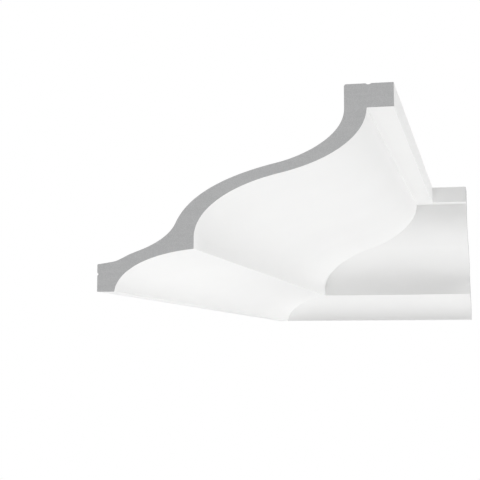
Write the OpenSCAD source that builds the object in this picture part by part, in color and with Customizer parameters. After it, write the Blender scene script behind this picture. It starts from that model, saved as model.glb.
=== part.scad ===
// Cornice moulding for the inside corner of a room: a long run and a short return,
// each a hollow-backed shell, mitred together and cut square at their free ends.
// +X leads out from the left wall, +Y leads to the far wall, +Z leads up to the ceiling.
// The origin is the room's corner at the moulding's lower edge.
// The section is drawn as seen along +Y: first number out from the wall, second number up.

/* [Runs] */
// Length of the long run on the left wall, from the room's corner to its square end
long_run_length = 860; // [450:10:1200]
// Length of the short return's front edge, from the mitre to its square end
return_past_mitre = 43; // [10:1:600]

/* [Overall section] */
// Projection out along the ceiling
projection = 250; // [200:1:320]
// Drop down the wall
drop = 167; // [138:1:220]

/* [Fillet under the ceiling] */
// Height of the fillet's upright face
fillet_height = 20; // [10:0.5:34]
// Depth of the fillet's soffit, from its face back to the cyma
fillet_depth = 22.2; // [12:0.1:32]

/* [Cyma] */
// Slope of the cyma where its hollow and its round meet, in degrees
cyma_slope = 12; // [5:1:25]
// How far the hollow keeps upright as it leaves the step
hollow_rise = 21.5; // [10:0.5:30]
// How far the hollow keeps to the cyma's slope before the middle
hollow_reach = 46; // [25:0.5:60]
// How far the round keeps to the cyma's slope after the middle
round_reach = 48.5; // [25:0.5:60]
// How far the round keeps upright as it meets the soffit
round_rise = 20.5; // [10:0.5:30]

/* [Step and cove] */
// Distance of the step's upright face from the wall
step_out = 83.6; // [69:0.1:104]
// Height of the upright step face
step_height = 9.7; // [5:0.1:16]
// Height of the arris between the cove and the step
arris_height = 34.7; // [29:0.1:42]
// Slope of the cove at the arris, in degrees
cove_slope = 5; // [0:1:10]
// How far the cove keeps upright as it leaves the toe
cove_rise = 9.5; // [5:0.5:14]
// How far the cove keeps to its slope before the arris
cove_reach = 54.5; // [40:0.5:62]
// Width of the toe's flat underside
toe_width = 15.3; // [12:0.1:19]

/* [Fixing faces] */
// Width of the flat face that is glued to the ceiling
ceiling_face_width = 40.5; // [33:0.1:49]
// Height of the flat face that is glued to the wall
wall_face_height = 23.2; // [20:0.1:26]
// Radius of the groove in the wall face
wall_groove_radius = 1; // [0.5:0.1:1.5]
// Height of the wall groove above the toe's underside
wall_groove_height = 14.8; // [8:0.1:18]
// Width of the shallow groove in the ceiling face
ceiling_groove_width = 4.6; // [3:0.1:6]
// Depth of the shallow groove in the ceiling face
ceiling_groove_depth = 1; // [0.5:0.1:1.5]
// Setback of the ceiling groove's middle from the fillet's face
ceiling_groove_setback = 20.5; // [10:0.1:25]

/* [Hollow back] */
// Thickness of the shell at the middle of the cyma
cyma_shell = 9; // [6:0.5:12]
// Thickness of the shell behind the step
step_shell = 15.7; // [12:0.1:20]
// Height above the step's top at which the back is steepest
back_steep_height = 12.4; // [8:0.1:18]
// Slope of the back at its steepest, in degrees
back_steep_slope = 65; // [50:1:75]
// Distance from the wall to the bend where the back levels out over the foot
foot_bend_out = 37.6; // [34:0.1:44]
// Slope of the foot's top beside that bend, in degrees
foot_slope = 20; // [15:1:25]
// Length of the foot's straight top below that bend
foot_straight = 6.8; // [2:0.1:9]
// Width of the nearly level ledge beside the wall
ledge_width = 12.4; // [8:0.1:15]
// Slope of that ledge down to the wall, in degrees
ledge_slope = 8; // [4:1:10]
// Radius of the ceiling face's back corner
back_corner_radius = 2; // [0.5:0.5:4]

/* [Smoothness] */
// Straight pieces in each curve of the section
curve_steps = 24; // [8:1:48]

/* [Hidden] */
$fn = 48;

upright = 90;
return_length = projection + return_past_mitre;
step_top = arris_height + step_height;
soffit_height = drop - fillet_height;
soffit_corner = [projection - fillet_depth, soffit_height];
cyma_foot = [step_out, step_top];
cyma_middle = (cyma_foot + soffit_corner) / 2;
back_face_out = projection - ceiling_face_width;

// Points at which the back's curves meet, from the ceiling down to the wall
back_top = [back_face_out, soffit_height];
back_middle = cyma_middle + cyma_shell * heading(cyma_slope + upright);
back_steep = [step_out - step_shell, step_top + back_steep_height];
foot_bend = [foot_bend_out, arris_height];
foot_low = foot_bend - foot_straight * heading(foot_slope);
ledge_edge = [ledge_width, wall_face_height + ledge_width * tan(ledge_slope)];

// How far each of the back's curves keeps to its direction at its two ends
back_round_holds = [23.5, 20];
back_hollow_holds = [46.5, 24.8];
back_bend_holds = [11.4, 13.9];
ledge_holds = [9, 7];

// The shallow groove is an arc of this radius, whose centre lies above the ceiling face
ceiling_groove_radius = (pow(ceiling_groove_width / 2, 2) + pow(ceiling_groove_depth, 2))
    / (2 * ceiling_groove_depth);
corner_turn = 15;
mitre_margin = 10;

// A length of one in the direction of an angle, in degrees from level
function heading(angle) = [cos(angle), sin(angle)];

// Points after the start of a smooth curve, which leaves and arrives at the given angles
// and keeps to each of them for its own stretch, called its hold
function curve(start, leaving, holds, end, arriving) =
    let (
        first_guide = start + holds[0] * heading(leaving),
        second_guide = end - holds[1] * heading(arriving)
    )
    [
        for (i = [1:curve_steps])
            let (t = i / curve_steps, s = 1 - t)
            s * s * s * start + 3 * s * s * t * first_guide
                + 3 * s * t * t * second_guide + t * t * t * end
    ];

// Points round the ceiling face's back corner
function back_corner() =
    let (centre = [back_face_out + back_corner_radius, drop - back_corner_radius])
    [for (a = [upright:corner_turn:2 * upright]) centre + back_corner_radius * heading(a)];

// From the wall along the toe, up the cove, the step and the cyma, and round the fillet
function front_outline() = concat(
    [[0, 0], [toe_width, 0]],
    curve([toe_width, 0], upright, [cove_rise, cove_reach], [step_out, arris_height], cove_slope),
    [cyma_foot],
    curve(cyma_foot, upright, [hollow_rise, hollow_reach], cyma_middle, cyma_slope),
    curve(cyma_middle, cyma_slope, [round_reach, round_rise], soffit_corner, upright),
    [[projection, soffit_height], [projection, drop]]
);

// From the ceiling face down the hollow back and over the foot to the wall
function back_outline() = concat(
    back_corner(),
    [back_top],
    curve(back_top, -upright, back_round_holds, back_middle, 180 + cyma_slope),
    curve(back_middle, 180 + cyma_slope, back_hollow_holds, back_steep, 180 + back_steep_slope),
    curve(back_steep, 180 + back_steep_slope, back_bend_holds, foot_bend, 180 + foot_slope),
    [foot_low],
    curve(foot_low, 180 + foot_slope, ledge_holds, ledge_edge, 180 + ledge_slope),
    [[0, wall_face_height]]
);

// The section that both pieces share, with its two setting-out grooves
module section() {
    difference() {
        polygon(concat(front_outline(), back_outline()));
        translate([0, wall_groove_height])
            circle(r = wall_groove_radius);
        translate([
            projection - ceiling_groove_setback,
            drop + ceiling_groove_radius - ceiling_groove_depth
        ])
            circle(r = ceiling_groove_radius);
    }
}

// A block over a plan outline, taller than the moulding by the margin above and below
module block_over(plan) {
    translate([0, 0, -mitre_margin])
        linear_extrude(drop + 2 * mitre_margin)
            polygon(plan);
}

// Corners of the mitre's line in plan, just behind the walls' corner and just past the fillet
mitre_behind = [-mitre_margin, mitre_margin];
mitre_front = [projection + mitre_margin, -projection - mitre_margin];

// The run along the left wall, square at the near end and mitred at the far end
module long_run() {
    near_end = -long_run_length - mitre_margin;
    color([0.95, 0.95, 0.94])
        intersection() {
            rotate([90, 0, 0])
                linear_extrude(long_run_length)
                    section();
            block_over([
                mitre_behind,
                [-mitre_margin, near_end],
                [projection + mitre_margin, near_end],
                mitre_front
            ]);
        }
}

// The return along the far wall, mitred at the left end and square at the right end
module short_return() {
    right_end = return_length + mitre_margin;
    color([0.95, 0.95, 0.94])
        intersection() {
            mirror([0, 1, 0])
                rotate([90, 0, 90])
                    linear_extrude(return_length)
                        section();
            block_over([
                mitre_behind,
                mitre_front,
                [right_end, -projection - mitre_margin],
                [right_end, mitre_margin]
            ]);
        }
}

long_run();
short_return();
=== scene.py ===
import math
from collections import Counter

import bpy
from bpy.props import FloatProperty, FloatVectorProperty, IntProperty, PointerProperty
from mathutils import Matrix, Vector


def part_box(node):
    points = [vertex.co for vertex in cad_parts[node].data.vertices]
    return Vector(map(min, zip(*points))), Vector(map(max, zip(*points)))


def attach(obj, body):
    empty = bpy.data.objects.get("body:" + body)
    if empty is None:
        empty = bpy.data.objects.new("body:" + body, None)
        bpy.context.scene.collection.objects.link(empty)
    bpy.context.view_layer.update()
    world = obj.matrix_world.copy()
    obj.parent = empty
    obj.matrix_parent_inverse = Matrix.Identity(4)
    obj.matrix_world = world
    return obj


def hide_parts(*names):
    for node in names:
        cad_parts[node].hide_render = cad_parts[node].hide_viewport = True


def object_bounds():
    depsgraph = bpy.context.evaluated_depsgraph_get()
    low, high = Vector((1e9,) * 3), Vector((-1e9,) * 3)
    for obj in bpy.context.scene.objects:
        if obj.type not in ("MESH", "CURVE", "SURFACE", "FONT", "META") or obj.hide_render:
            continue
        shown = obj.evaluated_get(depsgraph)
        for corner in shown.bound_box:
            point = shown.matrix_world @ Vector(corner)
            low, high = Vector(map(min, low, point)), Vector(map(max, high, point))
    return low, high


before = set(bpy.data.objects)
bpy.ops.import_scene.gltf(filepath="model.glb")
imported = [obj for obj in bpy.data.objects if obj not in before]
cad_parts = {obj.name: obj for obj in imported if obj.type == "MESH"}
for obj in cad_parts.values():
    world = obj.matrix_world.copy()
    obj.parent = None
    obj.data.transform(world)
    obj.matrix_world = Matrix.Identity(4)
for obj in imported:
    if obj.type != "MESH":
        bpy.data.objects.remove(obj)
CAD_LOW, CAD_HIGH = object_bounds()
LONG_LOW, LONG_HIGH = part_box("long_run")
NEAR_END = LONG_LOW.y
PROJECTION = LONG_HIGH.x
DROP = LONG_HIGH.z
RIGHT_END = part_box("short_return")[1].x

bl_info = {
    "name": "Cornice Corner",
    "version": (1, 0, 0),
    "blender": (4, 5, 0),
    "location": "3D View > Sidebar > Cornice",
    "description": "Models and finishes the two mitred lengths of a cornice moulding, on a plain stage",
    "category": "Object",
}

UPRIGHT = math.pi / 2
STRAIGHT = math.pi
MERGE = 1e-6
MITRE_ACROSS = Vector((1, 1, 0)).normalized()
LEAST_CORNER = math.radians(35)
LEAST_CREASE = math.radians(30)
FRONT, BACK, SAWN = range(3)

# How squarely a face has to look along the run to count as sawn, from 0 to 1
LEAST_SAWN_FACING = 0.3

# Steps in each rounding, and sides of the cylinders that cut the grooves
ARRIS_SEGMENTS = 4
SAWN_SEGMENTS = 2
CEILING_GROOVE_SIDES = 64
WALL_GROOVE_SIDES = 32

# How far each of the back's curves keeps to its direction at its two ends, in metres
BACK_ROUND_HOLDS = (0.0235, 0.0200)
BACK_HOLLOW_HOLDS = (0.0465, 0.0248)
BACK_BEND_HOLDS = (0.0114, 0.0139)
LEDGE_HOLDS = (0.0090, 0.0070)

# How far the roughness swings to each side over the stipple and over the flow marks
PRIMER_SWING = 0.05
BACK_SWING = 0.08

# Places of the lamps in metres: in the frame, from the object's middle or from the near end
OVERHEAD_PLACE = Vector((-0.5, 0.45, 2.4))
KEY_PLACE = Vector((1.5, -1.8, 2.2))
SIDE_FROM_MIDDLE = Vector((1.7, 0.6, -0.85))
FRONT_FROM_NEAR_END = Vector((0, -0.75, 0.12))

# The two panels: how far out from the left wall, how high, and how far past the far wall
PANEL_OUT = 0.05
PANEL_HEIGHT = -0.34
FAR_PANEL_BEYOND_WALL = 0.2

# Widths of the lamps
OVERHEAD_WIDTH = 0.8
KEY_WIDTH = 1.2
SIDE_WIDTH = 0.6
FRONT_WIDTH = 0.5
PANEL_WIDTH = 0.8

# How far off the camera still shows things
CAMERA_REACH = 100


# ---------------------------------------------------------------------------------------
# Sizes, colours and stage settings
# ---------------------------------------------------------------------------------------

def length(name, description, default):
    """A size in metres."""
    return FloatProperty(
        name=name, description=description, default=default, min=0, precision=4, unit="LENGTH"
    )


def angle(name, description, degrees):
    """An angle, kept in radians and shown in degrees."""
    return FloatProperty(
        name=name, description=description, default=math.radians(degrees), subtype="ANGLE"
    )


def share(name, description, default, highest=1):
    """A plain number from none up to its highest."""
    return FloatProperty(name=name, description=description, default=default, min=0, max=highest)


def watts(name, description, default):
    """A lamp's power."""
    return FloatProperty(name=name, description=description, default=default, min=0, unit="POWER")


def colour(name, description, default):
    """A colour in linear light."""
    return FloatVectorProperty(
        name=name, description=description, default=default, size=3, min=0, max=1, subtype="COLOR"
    )


class CorniceSectionSizes(bpy.types.PropertyGroup):
    """Sizes of the section that both lengths share, apart from its projection and drop."""

    fillet_height: length("Fillet height", "Upright face under the ceiling", 0.020)
    fillet_depth: length("Fillet depth", "Soffit from the fillet's face back to the cyma", 0.0222)
    cyma_slope: angle("Cyma slope", "Slope where the hollow and the round meet", 12)
    hollow_rise: length("Hollow rise", "How far the hollow keeps upright at the step", 0.0215)
    hollow_reach: length("Hollow reach", "How far the hollow keeps to the cyma's slope", 0.046)
    round_reach: length("Round reach", "How far the round keeps to the cyma's slope", 0.0485)
    round_rise: length("Round rise", "How far the round keeps upright at the soffit", 0.0205)
    step_out: length("Step out", "Distance of the step's face from the wall", 0.0836)
    step_height: length("Step height", "Height of the upright step face", 0.0097)
    arris_height: length("Arris height", "Height of the arris over the cove", 0.0347)
    cove_slope: angle("Cove slope", "Slope of the cove at the arris", 5)
    cove_rise: length("Cove rise", "How far the cove keeps upright at the toe", 0.0095)
    cove_reach: length("Cove reach", "How far the cove keeps to its slope at the arris", 0.0545)
    toe_width: length("Toe width", "Flat underside of the toe", 0.0153)
    ceiling_face: length("Ceiling face", "Width of the face glued to the ceiling", 0.0405)
    wall_face: length("Wall face", "Height of the face glued to the wall", 0.0232)
    wall_groove_radius: length("Wall groove radius", "Half-round groove in the wall face", 0.001)
    wall_groove_height: length("Wall groove height", "Middle of the groove above the toe", 0.0148)
    ceiling_groove_width: length("Ceiling groove width", "Shallow groove in the top", 0.0046)
    ceiling_groove_depth: length("Ceiling groove depth", "Depth of that groove", 0.001)
    ceiling_groove_setback: length("Ceiling groove setback", "Its middle from the front", 0.0205)
    cyma_shell: length("Cyma shell", "Thickness at the middle of the cyma", 0.009)
    step_shell: length("Step shell", "Thickness behind the step", 0.0157)
    back_steep_height: length("Steep height", "Where the back is steepest, over the step", 0.0124)
    back_steep_slope: angle("Steep slope", "Slope of the back at its steepest", 65)
    foot_bend_out: length("Foot bend out", "Distance of the foot's bend from the wall", 0.0376)
    foot_slope: angle("Foot slope", "Slope of the foot's top beside its bend", 20)
    foot_straight: length("Foot straight", "Straight part of the foot's top", 0.0068)
    ledge_width: length("Ledge width", "Nearly level ledge beside the wall", 0.0124)
    ledge_slope: angle("Ledge slope", "Slope of the ledge down to the wall", 8)
    back_corner: length("Back corner", "Radius of the ceiling face's back corner", 0.002)
    arris_round: length("Arris round", "Rounding of every long edge", 0.0005)
    sawn_round: length("Sawn round", "Easing of the sawn ends' edges", 0.0002)
    curve_steps: IntProperty(
        name="Curve steps", description="Faces along each curve", default=28, min=4, max=64
    )


class CorniceFinish(bpy.types.PropertyGroup):
    """Colours and fine texture of the three surfaces."""

    primer: colour("Primer", "Primed face that shows in the room", (0.87, 0.87, 0.865))
    back: colour("Back", "Moulded skin of the hollow back", (0.74, 0.73, 0.70))
    sawn: colour("Sawn end", "Dense foam where the length is sawn off", (0.54, 0.543, 0.547))
    primer_roughness: share("Primer roughness", "Roughness of the primer", 0.52)
    back_roughness: share("Back roughness", "Roughness of the back", 0.68)
    sawn_roughness: share("Sawn roughness", "Roughness of the sawn foam", 0.85)
    cell_size: length("Cell size", "Width of one foam cell", 0.0008)
    bubble_spacing: length("Bubble spacing", "Distance between air bubbles in the back", 0.022)
    stipple_size: length("Stipple size", "Width of one dimple in the primer", 0.0018)


class CorniceStage(bpy.types.PropertyGroup):
    """Camera, floor and lights."""

    camera_out: length("Camera out", "Camera's distance from the left wall face", 0.3247)
    camera_back: length("Camera back", "Camera's distance in front of the near end", 0.931)
    camera_drop: length("Camera drop", "Camera's height below the toe", 0.0532)
    camera_turn: angle("Camera turn", "How far the camera turns to the left", 12.233)
    camera_tilt: angle("Camera tilt", "How far the camera looks up", 5.657)
    camera_lens: FloatProperty(
        name="Lens", description="Focal length in millimetres", default=87.475, min=1
    )
    floor_drop: length("Floor drop", "Height of the toe over the floor", 1.1)
    floor_size: length("Floor size", "Width of the floor", 24.0)
    floor_lift: share("Floor lift", "How far the floor near the object goes to white", 0.2)
    fade_start: length("Fade start", "Where the floor begins to go white", 0.7)
    fade_end: length("Fade end", "Where the floor is as white as the backdrop", 1.6)
    dome: share("Dome", "Strength of the even light all round", 0.45, 5)
    overhead: watts("Overhead", "Lamp overhead and behind", 37)
    key: watts("Key", "Lamp high on the right, in front", 17.5)
    side: watts("Side", "Lamp low on the right", 12.2)
    front: watts("Front", "Lamp by the near end", 0.7)
    far_panel: watts("Far panel", "Panel that shines up under the return", 0.6)
    near_panel: watts("Near panel", "Panel that shines up under the near end", 0.93)


# ---------------------------------------------------------------------------------------
# The section's outline
# ---------------------------------------------------------------------------------------

def heading(turn):
    """One unit in a direction of the section's plane: first out from the wall, then up."""
    return Vector((math.cos(turn), math.sin(turn)))


def arc_hold(radius, turn):
    """How long a curve's guide is for it to follow a circle through that turn."""
    return 4 / 3 * math.tan(turn / 4) * radius


class Outline:
    """A closed outline of knots. Each knot is its place and its guides before and after it;
    a stretch without guides is straight."""

    def __init__(self, start):
        self.knots = [[start, None, None]]

    def straight(self, *point):
        """A straight stretch to a point."""
        self.knots.append([Vector(point), None, None])

    def curve(self, leaving, point, arriving, holds):
        """A curve that leaves and arrives at two angles, and keeps to each for its hold."""
        end = Vector(point)
        self.knots[-1][2] = self.knots[-1][0] + holds[0] * heading(leaving)
        self.knots.append([end, end - holds[1] * heading(arriving), None])


def section_outline(s):
    """The section from the wall along the toe, up the front, over the top and down the back."""
    step_top = s.arris_height + s.step_height
    soffit = DROP - s.fillet_height
    cyma_foot = Vector((s.step_out, step_top))
    soffit_corner = Vector((PROJECTION - s.fillet_depth, soffit))
    cyma_middle = (cyma_foot + soffit_corner) / 2
    back_out = PROJECTION - s.ceiling_face
    back_middle = cyma_middle + s.cyma_shell * heading(s.cyma_slope + UPRIGHT)
    back_steep = (s.step_out - s.step_shell, step_top + s.back_steep_height)
    foot_bend = Vector((s.foot_bend_out, s.arris_height))
    foot_low = foot_bend - s.foot_straight * heading(s.foot_slope)
    ledge_edge = (s.ledge_width, s.wall_face + s.ledge_width * math.tan(s.ledge_slope))
    corner_hold = arc_hold(s.back_corner, UPRIGHT)

    line = Outline(Vector((0, 0)))
    line.straight(s.toe_width, 0)
    line.curve(
        UPRIGHT, (s.step_out, s.arris_height), s.cove_slope, (s.cove_rise, s.cove_reach)
    )
    line.straight(*cyma_foot)
    line.curve(UPRIGHT, cyma_middle, s.cyma_slope, (s.hollow_rise, s.hollow_reach))
    line.curve(s.cyma_slope, soffit_corner, UPRIGHT, (s.round_reach, s.round_rise))
    line.straight(PROJECTION, soffit)
    line.straight(PROJECTION, DROP)

    line.straight(back_out + s.back_corner, DROP)
    line.curve(
        STRAIGHT, (back_out, DROP - s.back_corner), -UPRIGHT, (corner_hold, corner_hold)
    )
    line.straight(back_out, soffit)
    line.curve(-UPRIGHT, back_middle, STRAIGHT + s.cyma_slope, BACK_ROUND_HOLDS)
    line.curve(
        STRAIGHT + s.cyma_slope, back_steep, STRAIGHT + s.back_steep_slope, BACK_HOLLOW_HOLDS
    )
    line.curve(
        STRAIGHT + s.back_steep_slope, foot_bend, STRAIGHT + s.foot_slope, BACK_BEND_HOLDS
    )
    line.straight(*foot_low)
    line.curve(
        STRAIGHT + s.foot_slope, ledge_edge, STRAIGHT + s.ledge_slope, LEDGE_HOLDS
    )
    line.straight(0, s.wall_face)
    return line.knots


# ---------------------------------------------------------------------------------------
# Modelling steps
# ---------------------------------------------------------------------------------------

def start_clean():
    """Leaves no object selected, and Blender in object mode."""
    if bpy.context.object and bpy.context.object.mode != "OBJECT":
        bpy.ops.object.mode_set(mode="OBJECT")
    bpy.ops.object.select_all(action="DESELECT")


def draw_outline(name, knots, steps, lay):
    """Draws a closed curve through the knots, where lay puts each in the room, as a mesh."""
    start_clean()
    bpy.ops.curve.primitive_bezier_curve_add(location=(0, 0, 0))
    piece = bpy.context.object
    piece.name = name
    spline = piece.data.splines[0]
    spline.bezier_points.add(len(knots) - len(spline.bezier_points))
    spline.use_cyclic_u = True
    spline.resolution_u = steps
    for point, (middle, before, after) in zip(spline.bezier_points, knots):
        point.co = lay(middle)
        point.handle_left_type = "FREE" if before else "VECTOR"
        point.handle_right_type = "FREE" if after else "VECTOR"
        if before:
            point.handle_left = lay(before)
        if after:
            point.handle_right = lay(after)
    bpy.ops.object.convert(target="MESH")
    piece = bpy.context.object
    piece.data.name = name
    return piece


def pick(piece, kind, wanted):
    """Selects only the wanted vertices, edges or faces of a piece that is in edit mode."""
    bpy.ops.mesh.select_mode(type=kind)
    bpy.ops.mesh.select_all(action="DESELECT")
    bpy.ops.object.mode_set(mode="OBJECT")
    parts = {"VERT": piece.data.vertices, "EDGE": piece.data.edges, "FACE": piece.data.polygons}
    for part in parts[kind]:
        part.select = wanted(part)
    bpy.ops.object.mode_set(mode="EDIT")


def sharp_corners(piece, least_turn):
    """The vertices at which a mesh of one flat face turns by at least that much."""
    loop = piece.data.polygons[0].vertices[:]
    places = [piece.data.vertices[i].co for i in loop]
    following = places[1:] + places[:1]
    return {
        loop[k]
        for k in range(len(loop))
        if (places[k] - places[k - 1]).angle(following[k] - places[k]) > least_turn
    }


def cut_groove(piece, middle, radius, along, sides):
    """Cuts a round groove along the whole piece with a cylinder."""
    start_clean()
    bpy.ops.mesh.primitive_cylinder_add(
        vertices=sides, radius=radius, depth=4 * along.length, location=middle,
        rotation=along.to_track_quat("Z", "X").to_euler(),
    )
    cutter = bpy.context.object
    start_clean()
    bpy.context.view_layer.objects.active = piece
    piece.select_set(True)
    modifier = piece.modifiers.new("Groove", "BOOLEAN")
    modifier.object = cutter
    modifier.operation = "DIFFERENCE"
    modifier.solver = "EXACT"
    bpy.ops.object.modifier_apply(modifier=modifier.name)
    start_clean()
    cutter.select_set(True)
    bpy.ops.object.delete()


def make_length(name, sizes, lay, along, on_sawn_end):
    """One length: the section filled, its corners eased, pulled out along the wall, cut on
    the mitre, eased round its sawn end and grooved. on_sawn_end tests a place for lying there."""
    piece = draw_outline(name, section_outline(sizes), sizes.curve_steps, lay)

    bpy.ops.object.mode_set(mode="EDIT")
    bpy.ops.mesh.select_all(action="SELECT")
    bpy.ops.mesh.remove_doubles(threshold=MERGE)
    bpy.ops.mesh.edge_face_add()
    bpy.ops.object.mode_set(mode="OBJECT")
    corners = sharp_corners(piece, LEAST_CORNER)
    bpy.ops.object.mode_set(mode="EDIT")
    pick(piece, "VERT", lambda vertex: vertex.index in corners)
    bpy.ops.mesh.bevel(
        offset=sizes.arris_round, segments=ARRIS_SEGMENTS, affect="VERTICES", clamp_overlap=True
    )

    bpy.ops.mesh.select_all(action="SELECT")
    bpy.ops.mesh.extrude_region_move(TRANSFORM_OT_translate={"value": along})
    keep_low_side = MITRE_ACROSS.dot(along) > 0
    bpy.ops.mesh.select_all(action="SELECT")
    bpy.ops.mesh.bisect(
        plane_co=(0, 0, 0), plane_no=MITRE_ACROSS, use_fill=True,
        clear_outer=keep_low_side, clear_inner=not keep_low_side,
    )
    bpy.ops.mesh.select_all(action="SELECT")
    bpy.ops.mesh.normals_make_consistent(inside=False)

    vertices = piece.data.vertices
    pick(piece, "EDGE", lambda edge: all(on_sawn_end(vertices[i].co) for i in edge.vertices))
    bpy.ops.mesh.bevel(
        offset=sizes.sawn_round, segments=SAWN_SEGMENTS, affect="EDGES", clamp_overlap=True
    )
    bpy.ops.object.mode_set(mode="OBJECT")

    half_width = sizes.ceiling_groove_width / 2
    depth = sizes.ceiling_groove_depth
    ceiling_radius = (half_width ** 2 + depth ** 2) / (2 * depth)
    ceiling_middle = (PROJECTION - sizes.ceiling_groove_setback, DROP + ceiling_radius - depth)
    cut_groove(piece, lay(ceiling_middle), ceiling_radius, along, CEILING_GROOVE_SIDES)
    wall_middle = (0, sizes.wall_groove_height)
    cut_groove(piece, lay(wall_middle), sizes.wall_groove_radius, along, WALL_GROOVE_SIDES)
    check_closed(piece)
    return piece


def check_closed(piece):
    """Stops with an error unless the piece is one closed skin."""
    faces_at = Counter(edge for face in piece.data.polygons for edge in face.edge_keys)
    if not faces_at or any(count != 2 for count in faces_at.values()):
        raise RuntimeError(f"{piece.name} is not a closed shape")


def assign_surfaces(piece, out_from_wall):
    """Gives the front, the hollow back and the sawn ends their own materials."""
    for material in (primed_face(), moulded_back(), sawn_foam()):
        piece.data.materials.append(material)
    run = Vector((0, 0, 1)).cross(out_from_wall)
    towards_room = (out_from_wall - Vector((0, 0, 1))).normalized()

    def surface_of(face):
        if abs(face.normal.dot(run)) > LEAST_SAWN_FACING:
            return SAWN
        return FRONT if face.normal.dot(towards_room) > 0 else BACK

    for face in piece.data.polygons:
        face.material_index = surface_of(face)


def finish_length(piece, node, out_from_wall):
    """Materials, smooth shading that keeps flat faces flat, and the piece's place in the frame."""
    assign_surfaces(piece, out_from_wall)
    start_clean()
    piece.select_set(True)
    bpy.context.view_layer.objects.active = piece
    bpy.ops.object.shade_smooth_by_angle(angle=LEAST_CREASE)
    modifier = piece.modifiers.new("Even shading", "WEIGHTED_NORMAL")
    modifier.keep_sharp = True
    bpy.ops.object.modifier_apply(modifier=modifier.name)
    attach(piece, "root")
    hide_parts(node)


# ---------------------------------------------------------------------------------------
# Node helpers and shared node groups
# ---------------------------------------------------------------------------------------

def add_node(tree, kind, values=None, **settings):
    """A node with its settings, and with values or links put into its inputs."""
    node = tree.nodes.new(kind)
    for key, value in settings.items():
        setattr(node, key, value)
    for socket, value in (values or {}).items():
        feed(tree, node.inputs[socket], value)
    return node


def feed(tree, socket, value):
    """Links an output into a socket, or sets the socket's own value."""
    if isinstance(value, bpy.types.NodeSocket):
        tree.links.new(value, socket)
    else:
        socket.default_value = value


def arithmetic(tree, operation, *values):
    """The result of one arithmetic step."""
    node = add_node(tree, "ShaderNodeMath", operation=operation)
    for socket, value in zip(node.inputs, values):
        feed(tree, socket, value)
    return node.outputs[0]


def new_group(name, inputs, outputs):
    """A shader node group with named sockets, and the nodes at its two ends."""
    group = bpy.data.node_groups.new(name, "ShaderNodeTree")
    for socket, kind, default in inputs:
        made = group.interface.new_socket(socket, in_out="INPUT", socket_type=kind)
        made.default_value = default
    for socket, kind in outputs:
        group.interface.new_socket(socket, in_out="OUTPUT", socket_type=kind)
    return group, group.nodes.new("NodeGroupInput"), group.nodes.new("NodeGroupOutput")


def tone_drift_group():
    """A colour that drifts slowly lighter and darker over the surface."""
    if "Tone drift" in bpy.data.node_groups:
        return bpy.data.node_groups["Tone drift"]
    group, given, result = new_group(
        "Tone drift",
        [("Colour", "NodeSocketColor", (1, 1, 1, 1)), ("Patch size", "NodeSocketFloat", 0.1),
         ("Amount", "NodeSocketFloat", 0.02)],
        [("Colour", "NodeSocketColor")],
    )
    place = add_node(group, "ShaderNodeTexCoord").outputs["Object"]
    scale = arithmetic(group, "DIVIDE", 1, given.outputs["Patch size"])
    noise = add_node(
        group, "ShaderNodeTexNoise", {"Vector": place, "Scale": scale, "Detail": 3.0}
    )
    centred = arithmetic(group, "SUBTRACT", noise.outputs["Fac"], 0.5)
    swing = arithmetic(group, "MULTIPLY", centred, given.outputs["Amount"])
    factor = arithmetic(group, "ADD", 1, arithmetic(group, "MULTIPLY", swing, 2))
    tinted = add_node(
        group, "ShaderNodeVectorMath",
        {0: given.outputs["Colour"], "Scale": factor}, operation="SCALE",
    )
    group.links.new(tinted.outputs[0], result.inputs["Colour"])
    return group


def fine_grain_group():
    """Fine dimples, drawn out along one direction, as a height and as a mask."""
    if "Fine grain" in bpy.data.node_groups:
        return bpy.data.node_groups["Fine grain"]
    group, given, result = new_group(
        "Fine grain",
        [("Grain size", "NodeSocketFloat", 0.002), ("Stretch", "NodeSocketVector", (1, 1, 1)),
         ("Softness", "NodeSocketFloat", 0.5)],
        [("Height", "NodeSocketFloat"), ("Mask", "NodeSocketFloat")],
    )
    place = add_node(group, "ShaderNodeTexCoord").outputs["Object"]
    drawn = add_node(
        group, "ShaderNodeVectorMath", {0: place, 1: given.outputs["Stretch"]},
        operation="MULTIPLY",
    )
    scale = arithmetic(group, "DIVIDE", 1, given.outputs["Grain size"])
    noise = add_node(
        group, "ShaderNodeTexNoise",
        {"Vector": drawn.outputs[0], "Scale": scale, "Detail": 2.0,
         "Roughness": given.outputs["Softness"]},
    )
    group.links.new(noise.outputs["Fac"], result.inputs["Height"])
    group.links.new(noise.outputs["Fac"], result.inputs["Mask"])
    return group


def use_group(tree, group, values):
    """Places a node group in a material with that material's own values."""
    node = tree.nodes.new("ShaderNodeGroup")
    node.node_tree = group
    for socket, value in values.items():
        feed(tree, node.inputs[socket], value)
    return node


def new_material(name):
    """An empty material with its Principled shader."""
    material = bpy.data.materials.new(name)
    material.use_nodes = True
    material.node_tree.nodes.clear()
    tree = material.node_tree
    shader = add_node(tree, "ShaderNodeBsdfPrincipled")
    output = add_node(tree, "ShaderNodeOutputMaterial")
    tree.links.new(shader.outputs[0], output.inputs["Surface"])
    return material, tree, shader


# ---------------------------------------------------------------------------------------
# Materials
# ---------------------------------------------------------------------------------------

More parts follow.
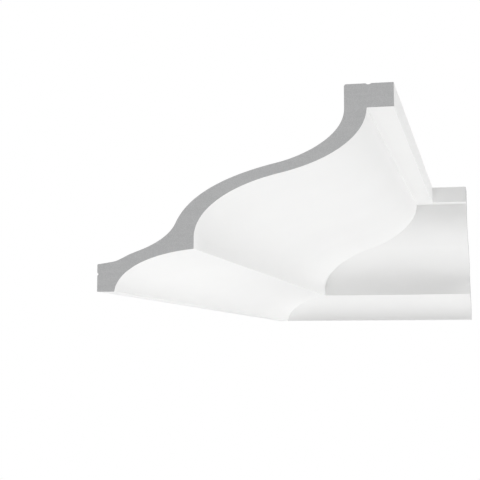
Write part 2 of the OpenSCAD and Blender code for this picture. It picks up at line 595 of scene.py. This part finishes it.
def primed_face():
    """Smooth matte primer with a faint sprayed stipple."""
    if "Primed face" in bpy.data.materials:
        return bpy.data.materials["Primed face"]
    finish = bpy.context.scene.cornice_finish
    material, tree, shader = new_material("Primed face")
    drift = use_group(
        tree, tone_drift_group(),
        {"Colour": (*finish.primer, 1), "Patch size": 0.09, "Amount": 0.015},
    )
    stipple = use_group(
        tree, fine_grain_group(), {"Grain size": finish.stipple_size, "Softness": 0.45}
    )
    roughness = add_node(
        tree, "ShaderNodeMapRange",
        {"Value": stipple.outputs["Mask"], "From Min": 0.3, "From Max": 0.7,
         "To Min": finish.primer_roughness - PRIMER_SWING,
         "To Max": finish.primer_roughness + PRIMER_SWING},
    )
    bump = add_node(
        tree, "ShaderNodeBump",
        {"Strength": 0.5, "Distance": 0.00009, "Height": stipple.outputs["Height"]},
    )
    tree.links.new(drift.outputs["Colour"], shader.inputs["Base Color"])
    tree.links.new(roughness.outputs[0], shader.inputs["Roughness"])
    tree.links.new(bump.outputs[0], shader.inputs["Normal"])
    return material


def moulded_back():
    """The hidden side's bare moulded skin: broad flow marks, and a few burst air bubbles."""
    if "Moulded back" in bpy.data.materials:
        return bpy.data.materials["Moulded back"]
    finish = bpy.context.scene.cornice_finish
    material, tree, shader = new_material("Moulded back")
    drift = use_group(
        tree, tone_drift_group(),
        {"Colour": (*finish.back, 1), "Patch size": 0.05, "Amount": 0.05},
    )
    flow = use_group(tree, fine_grain_group(), {"Grain size": 0.006, "Softness": 0.6})
    place = add_node(tree, "ShaderNodeTexCoord").outputs["Object"]
    bubbles = add_node(
        tree, "ShaderNodeTexVoronoi", {"Vector": place, "Scale": 1 / finish.bubble_spacing}
    )
    pit = add_node(
        tree, "ShaderNodeMapRange",
        {"Value": bubbles.outputs["Distance"], "From Min": 0.02, "From Max": 0.045,
         "To Min": 0.0, "To Max": 1.0},
        interpolation_type="SMOOTHSTEP",
    )
    pit_tone = add_node(
        tree, "ShaderNodeMapRange", {"Value": pit.outputs[0], "To Min": 0.82, "To Max": 1.0}
    )
    toned = add_node(
        tree, "ShaderNodeVectorMath",
        {0: drift.outputs["Colour"], "Scale": pit_tone.outputs[0]}, operation="SCALE",
    )
    roughness = add_node(
        tree, "ShaderNodeMapRange",
        {"Value": flow.outputs["Mask"], "From Min": 0.3, "From Max": 0.7,
         "To Min": finish.back_roughness - BACK_SWING,
         "To Max": finish.back_roughness + BACK_SWING},
    )
    height = arithmetic(
        tree, "ADD", arithmetic(tree, "MULTIPLY", flow.outputs["Height"], 0.5), pit.outputs[0]
    )
    bump = add_node(
        tree, "ShaderNodeBump", {"Strength": 0.6, "Distance": 0.0005, "Height": height}
    )
    tree.links.new(toned.outputs[0], shader.inputs["Base Color"])
    tree.links.new(roughness.outputs[0], shader.inputs["Roughness"])
    tree.links.new(bump.outputs[0], shader.inputs["Normal"])
    return material


def sawn_foam():
    """Fine closed cells of dense foam, with faint marks of the saw across them."""
    if "Sawn foam" in bpy.data.materials:
        return bpy.data.materials["Sawn foam"]
    finish = bpy.context.scene.cornice_finish
    material, tree, shader = new_material("Sawn foam")
    place = add_node(tree, "ShaderNodeTexCoord").outputs["Object"]
    cells = add_node(
        tree, "ShaderNodeTexVoronoi",
        {"Vector": place, "Scale": 1 / finish.cell_size},
    )
    marks = use_group(
        tree, fine_grain_group(),
        {"Grain size": 0.0025, "Stretch": (0.06, 0.06, 1), "Softness": 0.6},
    )
    drift = use_group(
        tree, tone_drift_group(),
        {"Colour": (*finish.sawn, 1), "Patch size": 0.02, "Amount": 0.02},
    )
    grain = arithmetic(
        tree, "ADD", cells.outputs["Distance"],
        arithmetic(tree, "MULTIPLY", marks.outputs["Mask"], 0.5),
    )
    cell_tone = add_node(
        tree, "ShaderNodeMapRange",
        {"Value": grain, "From Min": 0.2, "From Max": 1.0, "To Min": 0.9, "To Max": 1.08},
    )
    toned = add_node(
        tree, "ShaderNodeVectorMath",
        {0: drift.outputs["Colour"], "Scale": cell_tone.outputs[0]}, operation="SCALE",
    )
    bump = add_node(
        tree, "ShaderNodeBump", {"Strength": 0.5, "Distance": 0.00015, "Height": grain}
    )
    shader.inputs["Roughness"].default_value = finish.sawn_roughness
    tree.links.new(toned.outputs[0], shader.inputs["Base Color"])
    tree.links.new(bump.outputs[0], shader.inputs["Normal"])
    return material


# ---------------------------------------------------------------------------------------
# Operators
# ---------------------------------------------------------------------------------------

class CORNICE_OT_long_run(bpy.types.Operator):
    """Model and finish the long length on the left wall"""

    bl_idname = "cornice.long_run"
    bl_label = "Long Run"

    def execute(self, context):
        piece = make_length(
            "long_run_moulding", context.scene.cornice_section,
            lay=lambda point: Vector((point[0], NEAR_END, point[1])),
            along=Vector((0, -NEAR_END, 0)),
            on_sawn_end=lambda place: abs(place.y - NEAR_END) < MERGE,
        )
        finish_length(piece, "long_run", Vector((1, 0, 0)))
        return {"FINISHED"}


class CORNICE_OT_short_return(bpy.types.Operator):
    """Model and finish the short length on the far wall"""

    bl_idname = "cornice.short_return"
    bl_label = "Short Return"

    def execute(self, context):
        piece = make_length(
            "short_return_moulding", context.scene.cornice_section,
            lay=lambda point: Vector((RIGHT_END, -point[0], point[1])),
            along=Vector((-RIGHT_END, 0, 0)),
            on_sawn_end=lambda place: abs(place.x - RIGHT_END) < MERGE,
        )
        finish_length(piece, "short_return", Vector((0, -1, 0)))
        return {"FINISHED"}


def floor_material(stage):
    """Pale floor that keeps shadows near the object and goes as white as the backdrop beyond."""
    material, tree, shader = new_material("Pale floor")
    shader.inputs["Base Color"].default_value = (0.9, 0.9, 0.9, 1)
    shader.inputs["Roughness"].default_value = 0.9
    output = next(n for n in tree.nodes if n.type == "OUTPUT_MATERIAL")
    place = add_node(tree, "ShaderNodeTexCoord").outputs["Object"]
    away = add_node(tree, "ShaderNodeVectorMath", {0: place}, operation="LENGTH")
    fade = add_node(
        tree, "ShaderNodeMapRange",
        {"Value": away.outputs["Value"], "From Min": stage.fade_start,
         "From Max": stage.fade_end, "To Min": stage.floor_lift},
        interpolation_type="SMOOTHSTEP",
    )
    ray = add_node(tree, "ShaderNodeLightPath")
    seen = arithmetic(tree, "MULTIPLY", ray.outputs["Is Camera Ray"], fade.outputs[0])
    white = add_node(tree, "ShaderNodeEmission", {"Color": (1, 1, 1, 1), "Strength": 1.0})
    blend = add_node(
        tree, "ShaderNodeMixShader", {0: seen, 1: shader.outputs[0], 2: white.outputs[0]}
    )
    tree.links.new(blend.outputs[0], output.inputs["Surface"])
    return material


def light_world(strength):
    """An even dome of light that looks plain white to the camera."""
    world = bpy.data.worlds.new("Studio dome")
    bpy.context.scene.world = world
    world.use_nodes = True
    tree = world.node_tree
    tree.nodes.clear()
    ray = add_node(tree, "ShaderNodeLightPath")
    seen = arithmetic(
        tree, "MAXIMUM", ray.outputs["Is Camera Ray"],
        arithmetic(
            tree, "MAXIMUM", ray.outputs["Is Glossy Ray"], ray.outputs["Is Transmission Ray"]
        ),
    )
    level = add_node(
        tree, "ShaderNodeMapRange", {"Value": seen, "To Min": strength, "To Max": 1.0}
    )
    dome = add_node(
        tree, "ShaderNodeBackground", {"Color": (1, 1, 1, 1), "Strength": level.outputs[0]}
    )
    output = add_node(tree, "ShaderNodeOutputWorld")
    tree.links.new(dome.outputs[0], output.inputs["Surface"])


def soft_lamp(name, place, aim, width, power):
    """A square soft lamp that points at a place."""
    start_clean()
    bpy.ops.object.light_add(type="AREA", location=place)
    lamp = bpy.context.object
    lamp.name = name
    lamp.data.shape = "SQUARE"
    lamp.data.size = width
    lamp.data.energy = power
    lamp.visible_camera = False
    lamp.rotation_euler = (Vector(aim) - Vector(place)).to_track_quat("-Z", "Y").to_euler()


class CORNICE_OT_stage(bpy.types.Operator):
    """Set the camera, the pale floor and the soft lights"""

    bl_idname = "cornice.stage"
    bl_label = "Stage"

    def execute(self, context):
        stage = context.scene.cornice_stage
        middle = (CAD_LOW + CAD_HIGH) / 2
        start_clean()
        bpy.ops.object.camera_add(
            location=(stage.camera_out, CAD_LOW.y - stage.camera_back, -stage.camera_drop),
            rotation=(UPRIGHT + stage.camera_tilt, 0, stage.camera_turn),
        )
        camera = context.object
        camera.data.lens = stage.camera_lens
        camera.data.clip_end = CAMERA_REACH
        context.scene.camera = camera

        start_clean()
        bpy.ops.mesh.primitive_plane_add(
            size=stage.floor_size, location=(middle.x, middle.y, -stage.floor_drop)
        )
        floor = context.object
        floor.name = "floor"
        floor.data.materials.append(floor_material(stage))

        light_world(stage.dome)
        near_end = Vector((middle.x, NEAR_END, middle.z))
        side = middle + SIDE_FROM_MIDDLE
        front = near_end + FRONT_FROM_NEAR_END
        far_panel = Vector((PANEL_OUT, FAR_PANEL_BEYOND_WALL, PANEL_HEIGHT))
        near_panel = Vector((PANEL_OUT, NEAR_END, PANEL_HEIGHT))
        up = Vector((0, 0, 1))
        for name, place, aim, width, power in (
            ("overhead_lamp", OVERHEAD_PLACE, middle, OVERHEAD_WIDTH, stage.overhead),
            ("key_lamp", KEY_PLACE, middle, KEY_WIDTH, stage.key),
            ("side_lamp", side, middle, SIDE_WIDTH, stage.side),
            ("front_lamp", front, near_end, FRONT_WIDTH, stage.front),
            ("far_panel", far_panel, far_panel + up, PANEL_WIDTH, stage.far_panel),
            ("near_panel", near_panel, near_panel + up, PANEL_WIDTH, stage.near_panel),
        ):
            soft_lamp(name, place, aim, width, power)
        context.scene.view_settings.view_transform = "Standard"
        return {"FINISHED"}


# ---------------------------------------------------------------------------------------
# Panel and registration
# ---------------------------------------------------------------------------------------

class CORNICE_PT_panel(bpy.types.Panel):
    """Lists the steps and the settings that they use"""

    bl_idname = "CORNICE_PT_panel"
    bl_label = "Cornice Corner"
    bl_space_type = "VIEW_3D"
    bl_region_type = "UI"
    bl_category = "Cornice"

    def draw(self, context):
        for step in STEPS:
            self.layout.operator(step.bl_idname)
        for settings in ("cornice_section", "cornice_finish", "cornice_stage"):
            box = self.layout.box()
            group = getattr(context.scene, settings)
            for name in group.__annotations__:
                box.prop(group, name)


STEPS = (CORNICE_OT_stage, CORNICE_OT_long_run, CORNICE_OT_short_return)
SETTINGS = {
    "cornice_section": CorniceSectionSizes,
    "cornice_finish": CorniceFinish,
    "cornice_stage": CorniceStage,
}
CLASSES = (*SETTINGS.values(), *STEPS, CORNICE_PT_panel)


def register():
    """Adds the classes, and the settings to the scene."""
    for cls in CLASSES:
        bpy.utils.register_class(cls)
    for name, group in SETTINGS.items():
        setattr(bpy.types.Scene, name, PointerProperty(type=group))


def unregister():
    """Takes the settings and classes away again."""
    for name in SETTINGS:
        delattr(bpy.types.Scene, name)
    for cls in reversed(CLASSES):
        bpy.utils.unregister_class(cls)


def main():
    """Runs each step."""
    register()
    bpy.ops.cornice.stage()
    bpy.ops.cornice.long_run()
    bpy.ops.cornice.short_return()


if __name__ == "__main__":
    main()
